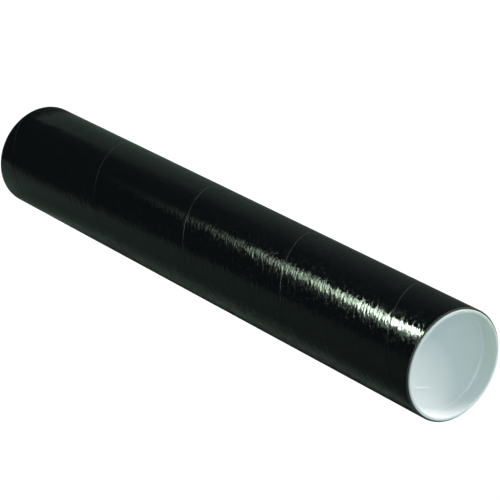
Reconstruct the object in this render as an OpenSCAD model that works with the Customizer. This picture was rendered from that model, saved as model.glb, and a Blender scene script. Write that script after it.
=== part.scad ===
// Mailing tube: a spiral-wound paperboard tube closed by a recessed push-in plug at each end.
// It stands on its lower plug. Millimetres, +Z along the tube, origin at the centre of the lower rim.

/* [Tube] */
// Inside diameter of the tube
tube_bore = 76.2; // [50:0.1:110]
// Thickness of the wound paperboard wall
tube_wall = 2; // [1.9:0.1:4]
// Length that the tube is cut to
tube_length = 495; // [150:1:1000]
// Rounding of the outside edge at each cut end
tube_edge_round = 0.3; // [0.1:0.05:0.5]

/* [Seam] */
// Width of the outer paper ply from edge to edge, which sets how steeply it winds
ply_width = 104; // [60:0.5:140]
// Width of the open seam between the ply's edges, measured across the seam
seam_width = 0.5; // [0.2:0.1:1]
// Depth of the open seam
seam_depth = 0.2; // [0.1:0.05:0.4]
// Angle about the axis, from +X, at which the seam meets the tube's top end
seam_start = -2; // [-180:1:180]

/* [Plug fit] */
// Depth that a plug reaches into the tube
plug_depth = 12; // [8:0.5:30]
// Radial clearance between a plug and the bore
plug_clearance = 0.08; // [0.02:0.01:0.1]
// Inward taper of a plug from its flange to its foot, on the radius
plug_taper = 0.4; // [0:0.05:1]
// Rounding of a plug's foot, which leads it into the bore
lead_in_round = 1; // [0.3:0.1:1.2]

/* [Plug moulding] */
// Thickness of a plug's side wall
plug_wall = 1.4; // [1:0.1:2.5]
// Thickness of a plug's sunk floor
floor_thickness = 1.4; // [1.3:0.1:3]
// Rounding inside the recess, between the side wall and the floor
floor_fillet = 1.8; // [0.5:0.1:3]
// Thickness of the flange that stands on the tube's cut end
flange_thickness = 1.4; // [1:0.1:2]
// Distance from the tube's outside in to the flange's edge
flange_inset = 1.3; // [0.2:0.1:1.4]
// Rounding of the flange's upper edge
flange_round = 0.4; // [0.1:0.05:0.5]
// Rounding under the flange's edge, which leaves a thin lip over the tube's end
lip_round = 0.4; // [0.1:0.05:0.4]
// Rounding of the recess's mouth
mouth_round = 0.6; // [0.1:0.05:0.7]

/* [Hidden] */
$fn = 96;

bore_r = tube_bore / 2;
outside_r = bore_r + tube_wall;
tube_bottom = flange_thickness;
tube_top = tube_bottom + tube_length;

// The ply winds up the tube as a right-handed helix, its edges meeting at every turn
circumference = 2 * PI * outside_r;
seam_angle = asin(ply_width / circumference);
seam_pitch = circumference * tan(seam_angle);
seam_steps_per_turn = 72;
// Length by which the cut for the seam stands past the tube, outside it and at its ends
seam_margin = 0.4;

plug_r = bore_r - plug_clearance;
foot_r = plug_r - plug_taper;
flange_r = outside_r - flange_inset;
// Height of the recess's floor over the face that the flange stands on
floor_height = floor_thickness - plug_depth;
// The recess is drafted as the plug's outside is, so its wall keeps one thickness
recess_draft = plug_taper * (flange_thickness - floor_height) / plug_depth;
mouth_r = plug_r - plug_wall + plug_taper * flange_thickness / plug_depth;
floor_r = mouth_r - recess_draft;

black = [0.05, 0.05, 0.055];
white = [0.93, 0.94, 0.93];

function unit(v) = v / norm(v);

// The corner of an outline at index i: [first tangent point, second tangent point, centre of its arc, turn]
// A positive turn is a corner that stands out, on an outline that runs counterclockwise.
function corner(points, radii, i) =
    let (
        count = len(points),
        here = points[i],
        back = unit(points[(i + count - 1) % count] - here),
        ahead = unit(points[(i + 1) % count] - here),
        half_angle = acos(back * ahead) / 2,
        reach = radii[i] / tan(half_angle),
        middle = unit(back + ahead)
    )
    [
        here + back * reach,
        here + ahead * reach,
        here + middle * radii[i] / sin(half_angle),
        back[1] * ahead[0] - back[0] * ahead[1]
    ];

// A closed outline with an arc at each corner, whether the corner stands out or in. Radius 0 keeps it sharp.
module rounded_outline(points, radii) {
    corners = [for (i = [0 : len(points) - 1]) radii[i] > 0 ? corner(points, radii, i) : [points[i]]];
    edge = [for (c = corners) for (j = [0 : len(c) > 1 ? 1 : 0]) c[j]];
    difference() {
        union() {
            polygon(edge);
            for (i = [0 : len(corners) - 1])
                if (radii[i] > 0 && corners[i][3] > 0)
                    translate(corners[i][2]) circle(radii[i]);
        }
        for (i = [0 : len(corners) - 1])
            if (radii[i] > 0 && corners[i][3] < 0)
                translate(corners[i][2]) circle(radii[i]);
    }
}

// Section of the tube's wall, with its lower end at height 0
module tube_section() {
    rounded_outline(
        [[bore_r, 0], [outside_r, 0], [outside_r, tube_length], [bore_r, tube_length]],
        [0, tube_edge_round, tube_edge_round, 0]
    );
}

// Half section of a plug, with the underside of its flange at height 0 and its recess facing up
module plug_section() {
    rounded_outline(
        [
            [0, -plug_depth],
            [foot_r, -plug_depth],
            [plug_r, 0],
            [flange_r, 0],
            [flange_r, flange_thickness],
            [mouth_r, flange_thickness],
            [floor_r, floor_height],
            [0, floor_height]
        ],
        [0, lead_in_round, 0, lip_round, flange_round, mouth_round, floor_fillet, 0]
    );
}

// One moulded plug, seated on a tube end at height 0
module plug() {
    rotate_extrude() plug_section();
}

// The space of the open seam: a wedge in the outside, wound up the whole tube from its lower end at height 0
module seam_space() {
    rise = tube_length + 2 * seam_margin;
    mouth = seam_width / sin(seam_angle);
    reach = mouth / 2 * (seam_depth + seam_margin) / seam_depth;
    wedge = [
        [outside_r - seam_depth, 0],
        [outside_r + seam_margin, -reach],
        [outside_r + seam_margin, reach]
    ];
    rotate([0, 0, seam_start - 360 * (tube_length + seam_margin) / seam_pitch])
        translate([0, 0, -seam_margin])
            linear_extrude(
                rise,
                twist = -360 * rise / seam_pitch,
                slices = ceil(seam_steps_per_turn * rise / seam_pitch),
                segments = len(wedge)
            )
                polygon(wedge);
}

module tube_body() {
    color(black) translate([0, 0, tube_bottom]) difference() {
        rotate_extrude() tube_section();
        seam_space();
    }
}

module top_cap() {
    color(white) translate([0, 0, tube_top]) plug();
}

module bottom_cap() {
    color(white) translate([0, 0, tube_bottom]) mirror([0, 0, 1]) plug();
}

tube_body();
top_cap();
bottom_cap();
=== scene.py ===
# %% [markdown]
# # A mailing tube
# A mailing tube is a spiral-wound paperboard tube with a push-in plug at each end. This one has a glossy
# black paper ply on the outside and white moulded plugs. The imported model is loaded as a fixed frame, so
# every size below starts from it, and each piece made here stands exactly where its solid stands.

# %% Load the frame
import math

import bmesh
import bpy
from mathutils import Matrix, Quaternion, Vector


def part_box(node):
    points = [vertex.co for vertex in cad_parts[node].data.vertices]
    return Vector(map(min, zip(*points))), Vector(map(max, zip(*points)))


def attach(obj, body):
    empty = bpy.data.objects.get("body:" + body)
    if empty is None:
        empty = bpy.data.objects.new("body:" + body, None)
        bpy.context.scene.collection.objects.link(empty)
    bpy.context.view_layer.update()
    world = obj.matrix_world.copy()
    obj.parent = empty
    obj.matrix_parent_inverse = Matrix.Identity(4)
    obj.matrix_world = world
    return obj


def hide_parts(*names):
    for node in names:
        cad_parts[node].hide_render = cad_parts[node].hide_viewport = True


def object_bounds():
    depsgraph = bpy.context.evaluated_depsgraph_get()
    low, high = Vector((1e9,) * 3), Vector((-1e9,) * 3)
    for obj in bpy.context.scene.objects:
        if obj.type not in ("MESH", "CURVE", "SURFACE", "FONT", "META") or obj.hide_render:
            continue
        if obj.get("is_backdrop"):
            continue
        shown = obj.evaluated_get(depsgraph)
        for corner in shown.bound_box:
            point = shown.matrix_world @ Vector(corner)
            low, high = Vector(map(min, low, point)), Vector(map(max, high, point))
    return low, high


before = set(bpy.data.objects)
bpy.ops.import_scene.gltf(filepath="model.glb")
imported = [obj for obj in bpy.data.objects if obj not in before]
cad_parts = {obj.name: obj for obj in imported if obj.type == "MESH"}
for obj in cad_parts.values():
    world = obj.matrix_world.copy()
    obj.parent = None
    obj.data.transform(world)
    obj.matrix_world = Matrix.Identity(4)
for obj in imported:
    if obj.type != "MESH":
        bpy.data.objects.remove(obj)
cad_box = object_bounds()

scene = bpy.context.scene
scene.view_settings.view_transform = "Standard"
MM = 0.001
AXIS = Vector((0, 0, 1))
ORIGIN = Vector((0, 0, 0))

tube_low, tube_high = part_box("tube_body")
tube_bottom = tube_low.z
tube_top = tube_high.z
outside_r = max(tube_high.x, tube_high.y)
print(f"tube: {2000 * outside_r:.1f} mm across, {1000 * (tube_top - tube_bottom):.0f} mm long")

# %% [markdown]
# ## The camera
# The photograph looks along the tube from beyond its near end, and it shows the tube lying aslant. The part
# stands on its plug here, so the camera is rolled about its own line of sight until the tube lies in the
# picture as it does there. A long lens keeps the two ends of the tube nearly the same width.

# %% Camera
camera_place = Vector((0, -1.2580, 1.6397))
camera_aim = Vector((-0.007, 0, 0.2697))
camera_roll = math.radians(116.9)
camera_lens = 185.5
camera_sensor = 36

camera_data = bpy.data.cameras.new("photo_camera")
camera_data.lens = camera_lens
camera_data.sensor_width = camera_sensor
camera = bpy.data.objects.new("photo_camera", camera_data)
camera.location = camera_place
camera.rotation_mode = "QUATERNION"
level_look = (camera_aim - camera_place).to_track_quat("-Z", "Y")
camera.rotation_quaternion = level_look @ Quaternion(AXIS, camera_roll)
scene.collection.objects.link(camera)
scene.camera = camera
print(f"camera: {camera_lens} mm lens, {(camera_aim - camera_place).length:.2f} m from the tube")

# %% [markdown]
# ## Writing materials as sums
# A finish is a sum of simple things: where on the tube a point lies, how far it is from a seam, a little
# noise. Nodes can say all that, but long chains of them are hard to read in code. The class Value wraps one
# node's output, so that ordinary Python sums add the Math nodes, and Sheet.add makes any other node.


# %% Node helpers
class Value:
    """One output of a node. Sums on it add Math nodes to its sheet."""

    def __init__(self, sheet, socket):
        self.sheet = sheet
        self.socket = socket

    def other(self, output):
        return Value(self.sheet, self.socket.node.outputs[output])

    def math(self, operation, *others):
        return self.sheet.add("Math", {"operation": operation}, dict(enumerate((self, *others))))

    def __add__(self, other):
        return self.math("ADD", other)

    def __sub__(self, other):
        return self.math("SUBTRACT", other)

    def __rsub__(self, other):
        return self.math("MULTIPLY_ADD", -1, other)

    def __mul__(self, other):
        return self.math("MULTIPLY", other)

    def __truediv__(self, other):
        return self.math("DIVIDE", other)

    __radd__ = __add__
    __rmul__ = __mul__

    def step(self, start, end):
        """0 up to start and 1 from end on, softly between. It falls where end is below start."""
        sockets = {"Value": self, "From Min": start, "From Max": end}
        return self.sheet.add("MapRange", {"interpolation_type": "SMOOTHSTEP"}, sockets)

    def mix(self, none, full):
        """The colour none where this value is 0, and full where it is 1."""
        return self.sheet.add("Mix", {"data_type": "RGBA"}, {0: self, 6: none, 7: full}, output=2)


class Sheet:
    """The nodes of one material, or of the world."""

    def __init__(self, owner):
        owner.use_nodes = True
        self.tree = owner.node_tree
        self.tree.nodes.clear()

    def add(self, kind, settings=(), sockets=(), output=0):
        node = self.tree.nodes.new("ShaderNode" + kind)
        for name, setting in dict(settings).items():
            setattr(node, name, setting)
        for key, value in dict(sockets).items():
            if isinstance(value, Value):
                self.tree.links.new(value.socket, node.inputs[key])
            else:
                node.inputs[key].default_value = value
        return Value(self, node.outputs[output]) if node.outputs else None

    def noise(self, across, up, deep=0.0, detail=2.0, roughness=0.5):
        """Noise about 0, mostly within a quarter each way. Its lumps are about one unit wide."""
        place = self.add("CombineXYZ", sockets={0: across, 1: up, 2: deep})
        sockets = {"Vector": place, "Scale": 1.0, "Detail": detail, "Roughness": roughness}
        return self.add("TexNoise", sockets=sockets) - 0.5

    def place(self):
        """A point's own x, y and z, which are the part's, because every piece sits at the origin."""
        spot = self.add("TexCoord", output="Object")
        x = self.add("SeparateXYZ", sockets={0: spot})
        return x, x.other("Y"), x.other("Z")


def from_axis(x, y):
    """How far a point lies from the tube's axis."""
    return (x * x + y * y).math("SQRT")


def colour(red, green, blue):
    return (red, green, blue, 1.0)


print("sums on node outputs are ready")

# %% [markdown]
# ## The floor and the daylight
# The photograph was cut out on white, so the floor and the sky are white to the eye. More light would burn
# out the white plugs, so the white is an emission that only camera, glossy and transmitted rays meet. A
# thin diffuse part stays under it and keeps the tube's shadow, and all other rays meet plain pale paint,
# which throws light back up. What lights the object is a dim, slightly cool sky and one soft lamp, which
# comes in low over the plug's rim and shades its recess from one side. The floor lies a little further down
# than the lower plug's slide goes, so that this plug stays in view when it is pulled out.

# %% Sky
sky_light = 0.62
sky_tint = colour(0.80, 1.0, 1.01)
white = colour(1, 1, 1)


def seen_directly(sheet):
    """1 for rays that show the background itself: straight, mirrored or through something clear."""
    camera_ray = sheet.add("LightPath", output="Is Camera Ray")
    glossy_ray = camera_ray.other("Is Glossy Ray")
    through_ray = camera_ray.other("Is Transmission Ray")
    return camera_ray.math("MAXIMUM", glossy_ray).math("MAXIMUM", through_ray)


sky = bpy.data.worlds.new("studio_sky")
scene.world = sky
sky_sheet = Sheet(sky)
sky_seen = seen_directly(sky_sheet)
sky_glow = sky_sheet.add(
    "Background",
    sockets={"Color": sky_seen.mix(sky_tint, white), "Strength": sky_seen * (1 - sky_light) + sky_light},
)
sky_sheet.add("OutputWorld", sockets={"Surface": sky_glow})
print(f"sky: white to the eye, {sky_light} of that as light")

# %% Floor
floor_size = 40
floor_drop = 55 * MM
floor_glow = 0.90
floor_tint = colour(0.80, 0.77, 0.77)
thin_tint = colour(0.20, 0.193, 0.193)


def plain_mesh(name, bm, material):
    """A mesh object at the origin, with its place in its mesh."""
    mesh = bpy.data.meshes.new(name)
    bm.to_mesh(mesh)
    bm.free()
    mesh.materials.append(material)
    made = bpy.data.objects.new(name, mesh)
    scene.collection.objects.link(made)
    return made


floor_material = bpy.data.materials.new("pale_floor")
floor_sheet = Sheet(floor_material)
floor_paint = floor_sheet.add("BsdfDiffuse", sockets={"Color": floor_tint})
thin_paint = floor_sheet.add("BsdfDiffuse", sockets={"Color": thin_tint})
floor_white = floor_sheet.add("Emission", sockets={"Color": white, "Strength": floor_glow})
floor_look = floor_sheet.add("AddShader", sockets={0: thin_paint, 1: floor_white})
floor_seen = seen_directly(floor_sheet)
floor_mix = floor_sheet.add("MixShader", sockets={0: floor_seen, 1: floor_paint, 2: floor_look})
floor_sheet.add("OutputMaterial", sockets={"Surface": floor_mix})

floor_bm = bmesh.new()
bmesh.ops.create_grid(floor_bm, x_segments=1, y_segments=1, size=floor_size / 2)
bmesh.ops.translate(floor_bm, vec=-AXIS * floor_drop, verts=floor_bm.verts)
floor = plain_mesh("floor", floor_bm, floor_material)
floor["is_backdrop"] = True
print(f"floor: {floor_size} m wide, {1000 * floor_drop:.0f} mm below the part")


# %% Lamp
def toward(azimuth, elevation=0.0):
    """The direction at an angle about the tube, from +X, and an angle above level, in degrees."""
    around = math.radians(azimuth)
    above = math.radians(elevation)
    flat = math.cos(above)
    return Vector((flat * math.cos(around), flat * math.sin(around), math.sin(above)))


lamp_distance = 1.6
lamp_side = 0.5
lamp_power = 28
lamp_tint = (1.0, 0.91, 0.90)
lamp_way = toward(158, 12.5)
lamp_data = bpy.data.lights.new("rim_lamp", "AREA")
lamp_data.shape = "SQUARE"
lamp_data.size = lamp_side
lamp_data.energy = lamp_power
lamp_data.color = lamp_tint
lamp = bpy.data.objects.new("rim_lamp", lamp_data)
lamp.location = AXIS * tube_top + lamp_way * lamp_distance
lamp.rotation_mode = "QUATERNION"
lamp.rotation_quaternion = (-lamp_way).to_track_quat("-Z", "Y")
lamp.visible_glossy = False
scene.collection.objects.link(lamp)
print(f"lamp: {lamp_power} W at {lamp_distance} m")

# %% [markdown]
# ## What the gloss shows
# Black gloss has hardly any colour of its own: what the eye reads is what it mirrors. In the photograph
# that is a dim room, a dark side from which the camera looks, and one bright strip lamp that runs along the
# tube. So the stage has a dim room, black cards and a strip, a pale panel that lights the seam's edges, and
# a panel overhead that draws the plug's rounded edges. They light nothing: only glossy rays meet them. This
# is how a photographer sets flags and strip boxes round a bottle.


# %% A dim room
def glow(name, strength, tint=white):
    """A material that shines evenly, or by the value that strength(sheet) gives."""
    material = bpy.data.materials.new(name)
    sheet = Sheet(material)
    level = strength(sheet) if callable(strength) else strength
    light = sheet.add("Emission", sockets={"Color": tint, "Strength": level})
    sheet.add("OutputMaterial", sockets={"Surface": light})
    return material


def gloss_card(name, bm, material):
    """A stage piece that only reflections show."""
    card = plain_mesh(name, bm, material)
    card.visible_camera = False
    card.visible_diffuse = False
    card.visible_transmission = False
    card.visible_volume_scatter = False
    card.visible_shadow = False
    card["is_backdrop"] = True


room_size = 9
room_height = 5
room_near_glow = 0.10
room_far_glow = 0.064
room_wall_glow = 0.015
front_gain = 0.7
left_loss = 0.46
rear_gain = 3.0
rear_left_loss = 2.76
room_tint = colour(0.72, 1.0, 0.83)
room_bm = bmesh.new()
bmesh.ops.create_cube(room_bm, size=1)
bmesh.ops.scale(room_bm, vec=(room_size, room_size, room_height), verts=room_bm.verts)
bmesh.ops.translate(room_bm, vec=AXIS * (room_height / 2 + 1 * MM), verts=room_bm.verts)


def room_level(sheet):
    """Palest on the floor near the tube and to its right rear, and dark on the walls."""
    x, y, z = sheet.place()
    away = from_axis(x, y).step(0.05, 0.5)
    ground = away * (room_far_glow - room_near_glow) + room_near_glow
    way = y.math("ARCTAN2", x)
    in_front = way.step(-0.15, -0.55) * front_gain - way.step(-2.4, -3.0) * left_loss
    behind = way.step(0.35, 0.8) * rear_gain - way.step(1.2, 1.9) * rear_left_loss
    lighter_side = in_front + behind + 1
    wall = z.step(0.01, 0.2)
    return ground * lighter_side * (1 - wall) + wall * room_wall_glow


gloss_card("dim_room", room_bm, glow("dim_room", room_level, room_tint))
print(f"room: {room_size} m wide, {room_height} m high")

# %% Black and grey cards
black_glow = 0.03
soft_edge_glow = 0.04
grey_glow = 0.05
rear_black_glow = 0.004


def black_level(sheet):
    """Black, but paler towards the card's edge to the left of the tube, so that this edge is soft."""
    x, y, _ = sheet.place()
    from_left = (y * -1).math("ARCTAN2", x * -1)
    return from_left.step(0.45, -0.35) * soft_edge_glow + black_glow


def lying_card(name, corners, height, level):
    """A flat card at the foot of the tube. Its corners are [x, y]."""
    bm = bmesh.new()
    bm.faces.new([bm.verts.new((*corner, height)) for corner in corners])
    gloss_card(name, bm, glow(name, level))


# One black card lies before the tube, with a grey one on it, and another black card lies behind the tube.
card_height = 3 * MM
grey_card_height = 4 * MM
front_corners = [
    (0.018, -0.0365),
    (-0.02, 0.043),
    (-0.0405, 0.0235),
    (-0.0465, 0.0),
    (-0.0405, -0.0235),
    (-0.029, -0.035),
    (-0.12, -0.055),
    (-0.24, -0.03),
    (-0.53, 0.10),
    (-4.0, 1.7),
    (-4.0, -4.0),
    (1.4, -3.9),
    (0.245, -0.424),
    (0.177, -0.197),
    (0.099, -0.089),
    (0.055, -0.0535),
]
grey_corners = [(-0.24, -0.09), (-0.56, -0.185), (-0.58, -0.05), (-0.25, -0.04)]
rear_corners = [(0.035, 0.022), (0.1165, 0.0874), (3.37, 4.25), (-0.3, 4.3), (0.0, 0.04)]
lying_card("black_card", front_corners, card_height, black_level)
lying_card("grey_card", grey_corners, grey_card_height, grey_glow)
lying_card("rear_black_card", rear_corners, card_height, rear_black_glow)
print(f"cards: {len(front_corners)}, {len(grey_corners)} and {len(rear_corners)} corners")


# %% A strip lamp
def standing_card(width, height, middle, facing):
    """An upright rectangle with its foot at a place and its face towards a direction."""
    bm = bmesh.new()
    bmesh.ops.create_grid(bm, x_segments=1, y_segments=1, size=0.5)
    bmesh.ops.scale(bm, vec=(width, height, 1), verts=bm.verts)
    bmesh.ops.rotate(bm, cent=ORIGIN, matrix=Matrix.Rotation(math.radians(90), 3, "X"), verts=bm.verts)
    bmesh.ops.rotate(bm, cent=ORIGIN, matrix=facing.to_track_quat("-Y", "Z").to_matrix(), verts=bm.verts)
    bmesh.ops.translate(bm, vec=middle + AXIS * height / 2, verts=bm.verts)
    return bm


strip_middle = Vector((-0.048, -0.1755, 0))
strip_width = 0.060
strip_height = 0.75
strip_full_height = 0.36
strip_strength = 39
strip_foot_glow = 0.15
strip_top_gain = 0.7
strip_top_loss = 0.96
strip_right_share = 0.05
strip_tint = colour(0.78, 1.0, 0.77)
strip_bm = standing_card(strip_width, strip_height, strip_middle, -strip_middle.normalized())


def strip_level(sheet):
    """Dark at its foot, full where the tube's near end mirrors it, and dim over that and on its right."""
    x, _, height = sheet.place()
    climb = (height / strip_full_height).math("MINIMUM", 1.0).math("POWER", 4.0)
    top_part = height.step(0.32, strip_full_height) * strip_top_gain + 1
    dimmed = 1 - height.step(0.385, 0.42) * strip_top_loss
    left_part = x.step(-0.041, -0.054) * (1 - strip_right_share) + strip_right_share
    return (climb * top_part * strip_strength + strip_foot_glow) * dimmed * left_part


gloss_card("strip_lamp", strip_bm, glow("strip_lamp", strip_level, strip_tint))
print(f"strip: {1000 * strip_width:.0f} x {1000 * strip_height:.0f} mm")

# %% Panels
panel_reach = 2.2
panel_low = 1.2
panel_high = 2.3
panel_from = -100
panel_turn = -125
panel_steps = 24
panel_glow = 0.8
panel_left_gain = 3.0
panel_bm = bmesh.new()
panel_foot = toward(panel_from) * panel_reach
panel_side = [panel_bm.verts.new(panel_foot + AXIS * up) for up in (panel_low, panel_high)]
panel_edge = panel_bm.edges.new(panel_side)
bmesh.ops.spin(
    panel_bm,
    geom=[*panel_side, panel_edge],
    cent=ORIGIN,
    axis=AXIS,
    angle=math.radians(panel_turn),
    steps=panel_steps,
)


def panel_level(sheet):
    """Dim at the end beside the strip, and palest to the tube's left."""
    x, _, _ = sheet.place()
    return x.step(-0.2, -1.6) * panel_left_gain + panel_glow


gloss_card("pale_panel", panel_bm, glow("pale_panel", panel_level))

overhead_side = 0.9
overhead_height = 2.6
overhead_glow = 14.0
overhead_bm = bmesh.new()
bmesh.ops.create_grid(overhead_bm, x_segments=1, y_segments=1, size=overhead_side / 2)
bmesh.ops.translate(overhead_bm, vec=AXIS * overhead_height, verts=overhead_bm.verts)
gloss_card("overhead_panel", overhead_bm, glow("overhead_panel", overhead_glow))

rear_way = toward(90)
rear_distance = 0.62
rear_width = 0.25
rear_height = 0.55
rear_glow = 8.0
rear_bm = standing_card(rear_width, rear_height, rear_way * rear_distance, -rear_way)
gloss_card("rear_strip", rear_bm, glow("rear_strip", rear_glow))

# %% [markdown]
# ## The wound tube
# A paper tube is made by winding glued strips round a mandrel, each a little aslant, so that every strip's
# edges meet in a helix. The outer black strip shows that seam. A plain cylinder would need the seam as a
# bump. Here the wall is made as the machine makes it: one profile, as high as one turn of the seam, is spun
# with a rise, so the seam is a real groove. The ends are then cut square, the outer edge is rolled over,
# and the two skins are joined.

# %% Wind the wall
tube_wall = 2.0 * MM
edge_round = 0.3 * MM
ply_width = 104 * MM
seam_width = 0.5 * MM
seam_depth = 0.2 * MM
seam_start = math.radians(-2)
steps_per_turn = 192
merge_distance = 0.001 * MM
touching = 0.01 * MM

bore_r = outside_r - tube_wall
girth = 2 * math.pi * outside_r
seam_slant = math.asin(ply_width / girth)
seam_pitch = girth * math.tan(seam_slant)
seam_mouth = seam_width / math.cos(seam_slant)
turns = math.ceil((tube_top - tube_bottom) / seam_pitch) + 1


def wind(bm, profile, start_angle):
    """Spins a profile of one turn's height up past both ends of the tube. Its points are [radius, height]."""
    start = Matrix.Rotation(start_angle, 3, "Z")
    lowest = AXIS * (tube_top - turns * seam_pitch)
    chain = [bm.verts.new(start @ Vector((radius, 0, height)) + lowest) for radius, height in profile]
    links = [bm.edges.new(pair) for pair in zip(chain, chain[1:])]
    bmesh.ops.spin(
        bm,
        geom=chain + links,
        cent=ORIGIN,
        axis=AXIS,
        dvec=AXIS * seam_pitch / steps_per_turn,
        angle=2 * math.pi * turns,
        steps=steps_per_turn * turns,
    )
    bmesh.ops.remove_doubles(bm, verts=bm.verts, dist=merge_distance)


def cut_ends(bm, low, high):
    """Cuts the wound skin square at two heights and drops what is beyond them."""
    for height, outward in ((low, -AXIS), (high, AXIS)):
        everything = list(bm.verts) + list(bm.edges) + list(bm.faces)
        bmesh.ops.bisect_plane(
            bm, geom=everything, dist=1e-7, plane_co=AXIS * height, plane_no=outward, clear_outer=True
        )


def open_edges(bm, height):
    """The edges of a skin's open end."""
    return [
        edge
        for edge in bm.edges
        if edge.is_boundary and all(abs(vert.co.z - height) < touching for vert in edge.verts)
    ]


# An extra ring at this distance from a bend keeps the shading flat beside it.
support = 0.3 * MM
dent_spread = 2.5 * MM
dent_depth = 0.02 * MM
dent_places = (0.36, 0.71)
dent_shape = ((-1.2, 0), (-1, 0), (-0.5, 0.5), (0, 1), (0.5, 0.5), (1, 0), (1.2, 0))


def ply_profile(radius, depth, dents=()):
    """From one seam's bottom to the next, with the soft dents that the seams of the plies beneath leave."""
    half = seam_mouth / 2
    lip = [(depth, 0), (0.45 * depth, 0.5 * half), (0, half), (0, half + support)]
    points = list(lip)
    for share in dents:
        middle = share * seam_pitch
        points += [(sink * dent_depth, middle + aside * dent_spread) for aside, sink in dent_shape]
    points += [(sink, seam_pitch - height) for sink, height in reversed(lip)]
    return [(radius - sink, height) for sink, height in points]


wall_bm = bmesh.new()
wind(wall_bm, ply_profile(outside_r, seam_depth, dent_places), seam_start)
cut_ends(wall_bm, tube_bottom + edge_round, tube_top - edge_round)
print(f"outer skin: {len(wall_bm.faces)} faces, seam pitch {1000 * seam_pitch:.1f} mm")

# %% Roll the cut edges and join the skins
edge_steps = 4
for end, up in ((tube_top - edge_round, 1), (tube_bottom + edge_round, -1)):
    ring = open_edges(wall_bm, end)
    for step in range(edge_steps):
        now, then = (math.pi / 2 * (step + more) / edge_steps for more in (0, 1))
        r_now, r_then = (outside_r - edge_round * (1 - math.cos(turn)) for turn in (now, then))
        shrink = r_then / r_now
        grown = bmesh.ops.extrude_edge_only(wall_bm, edges=ring)["geom"]
        rim = [part for part in grown if isinstance(part, bmesh.types.BMVert)]
        bmesh.ops.scale(wall_bm, vec=(shrink, shrink, 1), verts=rim)
        rise = edge_round * (math.sin(then) - math.sin(now))
        bmesh.ops.translate(wall_bm, vec=AXIS * rise * up, verts=rim)
        rim_set = set(rim)
        ring = [edge for edge in wall_bm.edges if edge.is_boundary and rim_set.issuperset(edge.verts)]

liner_start = seam_start + math.radians(140)
liner_seam_depth = 0.15 * MM
liner_bm = bmesh.new()
wind(liner_bm, ply_profile(bore_r, -liner_seam_depth), liner_start)
cut_ends(liner_bm, tube_bottom, tube_top)
liner = bpy.data.meshes.new("liner")
liner_bm.to_mesh(liner)
liner_bm.free()
wall_bm.from_mesh(liner)
bpy.data.meshes.remove(liner)
for end in (tube_top, tube_bottom):
    bmesh.ops.triangle_fill(wall_bm, use_beauty=True, edges=open_edges(wall_bm, end))
bmesh.ops.recalc_face_normals(wall_bm, faces=wall_bm.faces)
open_left = sum(edge.is_boundary for edge in wall_bm.edges)
wall_volume = 1e6 * wall_bm.calc_volume()
print(f"wall: {len(wall_bm.faces)} faces, {open_left} open edges, {wall_volume:.1f} cm3")

# %% [markdown]
# ## Glossy black paper over board
# The outside is thin black gloss paper. Winding pulls it tight round the tube, so it has fine wrinkles that
# run along the strip, a little weaker towards the tube's ends, and small dull spots, and both break up
# every highlight. A point's place on the strip is worked out from its angle and height: how far along the
# strip it lies, and how far across from the seam. Noise that is stretched along the strip then lies as the
# paper does, with its only break at the seam, where the real paper breaks too. The seam has a shader of its
# own without wrinkles, or its thin line would break up into dashes. Its edge has a painted highlight: it is
# painted pale only on the side of the tube where it mirrors the lamps.

# %% Where a point lies on the strip
board_material = bpy.data.materials.new("wound_board")
board = Sheet(board_material)
spot_x, spot_y, spot_z = board.place()
radius = from_axis(spot_x, spot_y)
angle = spot_y.math("ARCTAN2", spot_x)

seam_turns = (spot_z - tube_top) / seam_pitch - (angle - seam_start) / (2 * math.pi)
whole_turns = seam_turns.math("FLOOR")
across = (seam_turns - whole_turns) * ply_width
wound_angle = angle + whole_turns * (2 * math.pi)
along = wound_angle * (outside_r * math.cos(seam_slant)) + spot_z * math.sin(seam_slant)
from_seam = across.math("MINIMUM", ply_width - across)
print(f"strip: {1000 * ply_width:.0f} mm wide, wound at {math.degrees(seam_slant):.1f} degrees")

# %% Which part of the wall it is
soft = 0.02 * MM
paper_depth = 0.40 * MM
liner_depth = 0.18 * MM
outside = radius.step(outside_r - paper_depth - soft, outside_r - paper_depth + soft)
inside = radius.step(bore_r + liner_depth + soft, bore_r + liner_depth - soft)
from_middle = (spot_z - (tube_top + tube_bottom) / 2).math("ABSOLUTE")
half_length = (tube_top - tube_bottom) / 2
edge_start = half_length - edge_round
cut_end = from_middle.step(half_length - soft, half_length - soft / 2)
rolled_edge = from_middle.step(edge_start - soft, edge_start + soft)
# The seam's shader covers this width; its pale colour there is a painted highlight.
seam_outer = 0.34 * MM
seam_inner = 0.20 * MM
seam = from_seam.step(seam_outer, seam_inner) * outside
print(f"paper: {1000 * paper_depth:.2f} mm deep, rubbed seam {2000 * seam_outer:.2f} mm wide")

# %% Colours of paper and board
black_paper = colour(0.0030, 0.0044, 0.0050)
# The seam's two pale colours are a painted highlight, varied at random between them.
seam_glint_paper = colour(0.030, 0.034, 0.034)
seam_glint_fibre = colour(0.070, 0.078, 0.077)
# The rolled edge's paler colour: partly wear, partly a painted highlight for the glint it catches.
worn_glint_paper = colour(0.030, 0.048, 0.034)
dark_board = colour(0.018, 0.031, 0.021)
grey_board = colour(0.20, 0.165, 0.125)
kraft = colour(0.34, 0.235, 0.145)
dark_kraft = colour(0.12, 0.085, 0.055)
black = colour(0, 0, 0)


def strip_noise(length, width, detail=1, roughness=0.5):
    """Noise that lies as the paper does. Its lumps have a length along the strip and a width across it."""
    return board.noise(along / length, across / width, detail=detail, roughness=roughness)


ply_lines = board.noise(radius / (0.16 * MM), angle * 2.0, detail=3)
fibre = board.noise(along / (2.2 * MM), across / (0.35 * MM), radius / (0.35 * MM), detail=3)
seam_glint_spread = strip_noise(9 * MM, 5 * MM, detail=4, roughness=0.65).step(0.02, 0.2)

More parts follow.
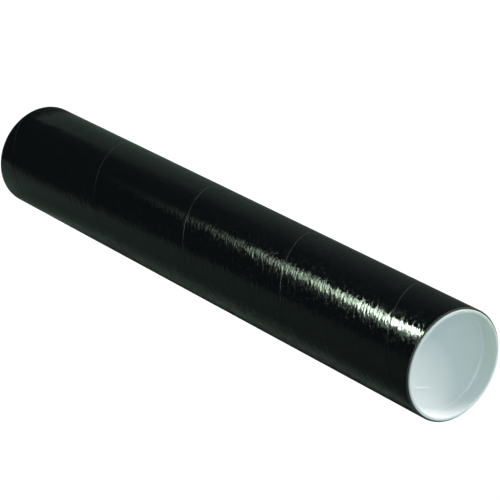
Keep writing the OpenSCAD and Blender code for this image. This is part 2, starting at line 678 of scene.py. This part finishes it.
outer_plies = radius.step(outside_r - 0.95 * MM, outside_r - 0.85 * MM)
board_shade = outer_plies.mix(grey_board, dark_board)
cut_shade = (ply_lines * 1.6 + fibre * 0.8 + 0.5).mix(black, board_shade)
kraft_shade = (fibre * 1.2 + 0.75).mix(dark_kraft, kraft)
# The rolled edge is paler: partly wear, partly a painted highlight.
paper_shade = rolled_edge.mix(black_paper, worn_glint_paper)
side_shade = inside.mix(paper_shade, kraft_shade)
board_colour = cut_end.mix(side_shade, cut_shade)
# Painted highlight: the seam is pale only on the side of the tube where it mirrors the lamps.
seam_glint_way = toward(-125)
seam_glint_side = ((spot_x * seam_glint_way.x + spot_y * seam_glint_way.y) / radius).step(0.66, 0.95)
seam_colour = seam_glint_side.mix(black_paper, seam_glint_spread.mix(seam_glint_paper, seam_glint_fibre))
print("colours:", len(board.tree.nodes), "nodes so far")

# %% Wrinkles and gloss
wrinkle_height = 0.57 * MM
swell_height = 0.25 * MM
grain_height = 0.05 * MM
fibre_height = 0.06 * MM
calm_share = 0.25
calm_ends = spot_z.step(150 * MM, 60 * MM) + spot_z.step(410 * MM, 470 * MM)
wrinkle = strip_noise(7.5 * MM, 2.2 * MM, detail=2) * (1 - calm_ends * calm_share)
swell = strip_noise(60 * MM, 16 * MM)
grain = strip_noise(3 * MM, 1.0 * MM)
gloss_height = wrinkle * wrinkle_height + swell * swell_height + grain * grain_height
bare_height = fibre * fibre_height
gloss_side = outside * (1 - cut_end)
board_bump = board.add(
    "Bump",
    sockets={
        "Strength": 1.0,
        "Distance": 1.0,
        "Height": gloss_side * gloss_height + (1 - gloss_side) * bare_height,
    },
)
gloss_rough = 0.07
dull_gain = 0.18
worn_gain = 0.35
bare_rough = 0.85
dull_spots = strip_noise(4 * MM, 2.2 * MM).step(0.0, 0.15)
paper_rough = dull_spots * dull_gain + rolled_edge * worn_gain + gloss_rough
board_roughness = gloss_side * paper_rough + (1 - gloss_side) * bare_rough
board_shader = board.add(
    "BsdfPrincipled",
    sockets={
        "Base Color": board_colour,
        "Roughness": board_roughness,
        "Specular IOR Level": 0.5,
        "Normal": board_bump,
    },
)
seam_shader = board.add(
    "BsdfPrincipled",
    sockets={"Base Color": seam_colour, "Roughness": 0.38, "Specular IOR Level": 0.16},
)
wound_shader = board.add("MixShader", sockets={0: seam, 1: board_shader, 2: seam_shader})
board.add("OutputMaterial", sockets={"Surface": wound_shader})
print("board:", len(board.tree.nodes), "nodes")

# %% Place the wound tube
sharp_angle = math.radians(40)


def dress(name, bm, material, body, node):
    """A finished piece that stands for a node: smooth but for its creases, and riding on the node's body."""
    made = plain_mesh(name, bm, material)
    made.data.shade_smooth()
    made.data.set_sharp_from_angle(angle=sharp_angle)
    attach(made, body)
    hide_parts(node)
    low, high = (Vector(corner) for corner in (made.bound_box[0], made.bound_box[6]))
    size = " x ".join(f"{1000 * length:.1f}" for length in high - low)
    triangles = sum(len(face.vertices) - 2 for face in made.data.polygons)
    print(f"{name}: {size} mm, {triangles} triangles")


dress("wound_tube", wall_bm, board_material, "tube", "tube_body")

# %% [markdown]
# ## The plugs
# Each plug is one moulding: a thin flange that stands on the tube's cut end, a drafted wall that goes into
# the bore, and a sunk floor. Such a round part is a half section spun about the axis. The corners of the
# section start sharp, and bevelling their rings afterwards gives each its own radius. The lower plug is the
# same moulding, mirrored.

# %% Sizes of a plug
plug_low, plug_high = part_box("top_cap")
plug_depth = tube_top - plug_low.z
flange_thickness = plug_high.z - tube_top
flange_r = max(plug_high.x, plug_high.y)
plug_clearance = 0.08 * MM
plug_taper = 0.4 * MM
plug_wall = 1.4 * MM
floor_thickness = 1.4 * MM

plug_r = bore_r - plug_clearance
foot_r = plug_r - plug_taper
floor_height = floor_thickness - plug_depth
mouth_r = plug_r - plug_wall + plug_taper * flange_thickness / plug_depth
floor_r = mouth_r - plug_taper * (flange_thickness - floor_height) / plug_depth

lead_in_round = 1.0 * MM
flange_round = 0.4 * MM
lip_round = 0.4 * MM
mouth_round = 0.6 * MM
floor_fillet = 1.8 * MM
# The half section's corners, from the foot's middle round to the floor's: [radius, height, rounding]
plug_corners = [
    (0, -plug_depth, 0),
    (foot_r - lead_in_round - support, -plug_depth, 0),
    (foot_r, -plug_depth, lead_in_round),
    (plug_r, 0, 0),
    (flange_r, 0, lip_round),
    (flange_r, flange_thickness, flange_round),
    (mouth_r, flange_thickness, mouth_round),
    (floor_r, floor_height, floor_fillet),
    (floor_r - floor_fillet - support, floor_height, 0),
    (0, floor_height, 0),
]
print(f"plug: {2000 * flange_r:.1f} mm across, floor {-1000 * floor_height:.1f} mm below the tube's end")


# %% Spin a plug
def ring_edges(bm, radius, height):
    """The edges of one corner's ring."""

    def on_ring(vert):
        level = abs(vert.co.z - height) < touching
        return level and abs(vert.co.xy.length - radius) < touching

    return [edge for edge in bm.edges if all(on_ring(vert) for vert in edge.verts)]


corner_steps = 6


def plug_solid():
    """One plug, with the underside of its flange at height 0 and its recess facing up."""
    bm = bmesh.new()
    chain = [bm.verts.new((radius, 0, height)) for radius, height, _ in plug_corners]
    links = [bm.edges.new(pair) for pair in zip(chain, chain[1:])]
    bmesh.ops.spin(
        bm,
        geom=chain + links,
        cent=ORIGIN,
        axis=AXIS,
        angle=2 * math.pi,
        steps=steps_per_turn,
        use_merge=True,
    )
    bmesh.ops.remove_doubles(bm, verts=bm.verts, dist=merge_distance)
    bmesh.ops.recalc_face_normals(bm, faces=bm.faces)
    for before, here, after in zip(plug_corners, plug_corners[1:], plug_corners[2:]):
        radius, height, rounding = here
        if rounding:
            back = Vector(before[:2]) - Vector(here[:2])
            ahead = Vector(after[:2]) - Vector(here[:2])
            bmesh.ops.bevel(
                bm,
                geom=ring_edges(bm, radius, height),
                offset=rounding / math.tan(back.angle(ahead) / 2),
                offset_type="OFFSET",
                segments=corner_steps,
                profile=0.5,
                affect="EDGES",
                material=-1,
            )
    return bm


top_bm = plug_solid()
bmesh.ops.translate(top_bm, vec=AXIS * tube_top, verts=top_bm.verts)
bottom_bm = plug_solid()
bmesh.ops.scale(bottom_bm, vec=(1, 1, -1), verts=bottom_bm.verts)
bmesh.ops.translate(bottom_bm, vec=AXIS * tube_bottom, verts=bottom_bm.verts)
bmesh.ops.recalc_face_normals(bottom_bm, faces=bottom_bm.faces)
print(f"plug: {len(top_bm.faces)} faces, {sum(e.is_boundary for e in top_bm.edges)} open edges")

# %% [markdown]
# ## Satin white polyethylene
# The plugs are moulded in a soft white plastic. Its skin is satin, with a very fine grain and faint clouds
# where the melt flowed. Its outer band, the wall and the flange, has painted shade: a little darker and
# greener on the side away from the lamp. The near plug also has one shallow crease on its floor, with a
# painted highlight on the crease's slope that faces the lamp.

# %% Clouds, grain and the crease
crease_middle = Vector((0.0230, -0.0050, 0))
crease_way = Vector((-0.32, 0.947, 0))
crease_length = 18 * MM
crease_width = 1.1 * MM
crease_rise = 0.35 * MM

plastic_material = bpy.data.materials.new("satin_white_plastic")
plastic = Sheet(plastic_material)
place_x, place_y, place_z = plastic.place()


def plastic_noise(size, detail):
    return plastic.noise(place_x / size, place_y / size, place_z / size, detail=detail)


clouds = plastic_noise(9 * MM, detail=3)
plastic_grain = plastic_noise(0.5 * MM, detail=2)

off_x = place_x - crease_middle.x
off_y = place_y - crease_middle.y
down_crease = off_x * crease_way.x + off_y * crease_way.y
across_crease = off_x * crease_way.y - off_y * crease_way.x
crease_end = down_crease.math("ABSOLUTE").step(crease_length / 2, crease_length / 4)
crease_line = across_crease.math("ABSOLUTE").step(crease_width, 0.0)
on_near_floor = place_z.step(plug_low.z, plug_low.z + 1 * MM)
crease_height = crease_end * crease_line * on_near_floor * crease_rise
# Painted highlight: a whiter band on the crease's slope that faces the lamp.
lamp_facing_slope = across_crease.step(-1.4 * MM, -0.6 * MM) * across_crease.step(0.1 * MM, -0.3 * MM)
crease_highlight = lamp_facing_slope * crease_end * on_near_floor
print(f"crease: {1000 * crease_length:.0f} mm long, {1000 * crease_rise:.2f} mm high")

# %% Plastic material
plastic_white = colour(0.80, 0.825, 0.83)
plastic_cloud = colour(0.755, 0.79, 0.80)
# The painted highlight's colour on the crease.
plastic_highlight = colour(0.94, 0.96, 0.96)
# Painted shade: a darker, greener colour for the wall and flange on the side away from the lamp.
plastic_painted_shade = colour(0.69, 0.76, 0.69)
shaded_way = toward(152)

plastic_r = from_axis(place_x, place_y)
# Painted shade: this outer band of the plug, on the side away from the lamp, takes the darker colour.
outer_band = plastic_r.step(floor_r - 0.8 * MM, floor_r)
shaded_side = ((place_x * shaded_way.x + place_y * shaded_way.y) / plastic_r).step(0.3, 0.92)
flowed_shade = (clouds * 1.2 + 0.4).mix(plastic_white, plastic_cloud)
plastic_shade = (outer_band * shaded_side).mix(flowed_shade, plastic_painted_shade)

plastic_grain_height = 0.012 * MM
cloud_height = 0.08 * MM
plastic_bump = plastic.add(
    "Bump",
    sockets={
        "Strength": 1.0,
        "Distance": 1.0,
        "Height": crease_height + plastic_grain * plastic_grain_height + clouds * cloud_height,
    },
)
plastic_shader = plastic.add(
    "BsdfPrincipled",
    sockets={
        "Base Color": crease_highlight.mix(plastic_shade, plastic_highlight),
        "Roughness": clouds * 0.15 + 0.38,
        "Specular IOR Level": 0.5,
        "Normal": plastic_bump,
    },
)
plastic.add("OutputMaterial", sockets={"Surface": plastic_shader})
dress("top_plug_moulding", top_bm, plastic_material, "top_plug", "top_cap")
dress("bottom_plug_moulding", bottom_bm, plastic_material, "bottom_plug", "bottom_cap")

# %% [markdown]
# ## Measure and finish
# The dressed tube has to fill the same box as the imported one, so the largest difference between their
# corners is printed.

# %% Sizes and finish
visual_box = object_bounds()
gaps = [1000 * (cad - seen).length for cad, seen in zip(cad_box, visual_box)]
print("largest difference in mm:", max(gaps))
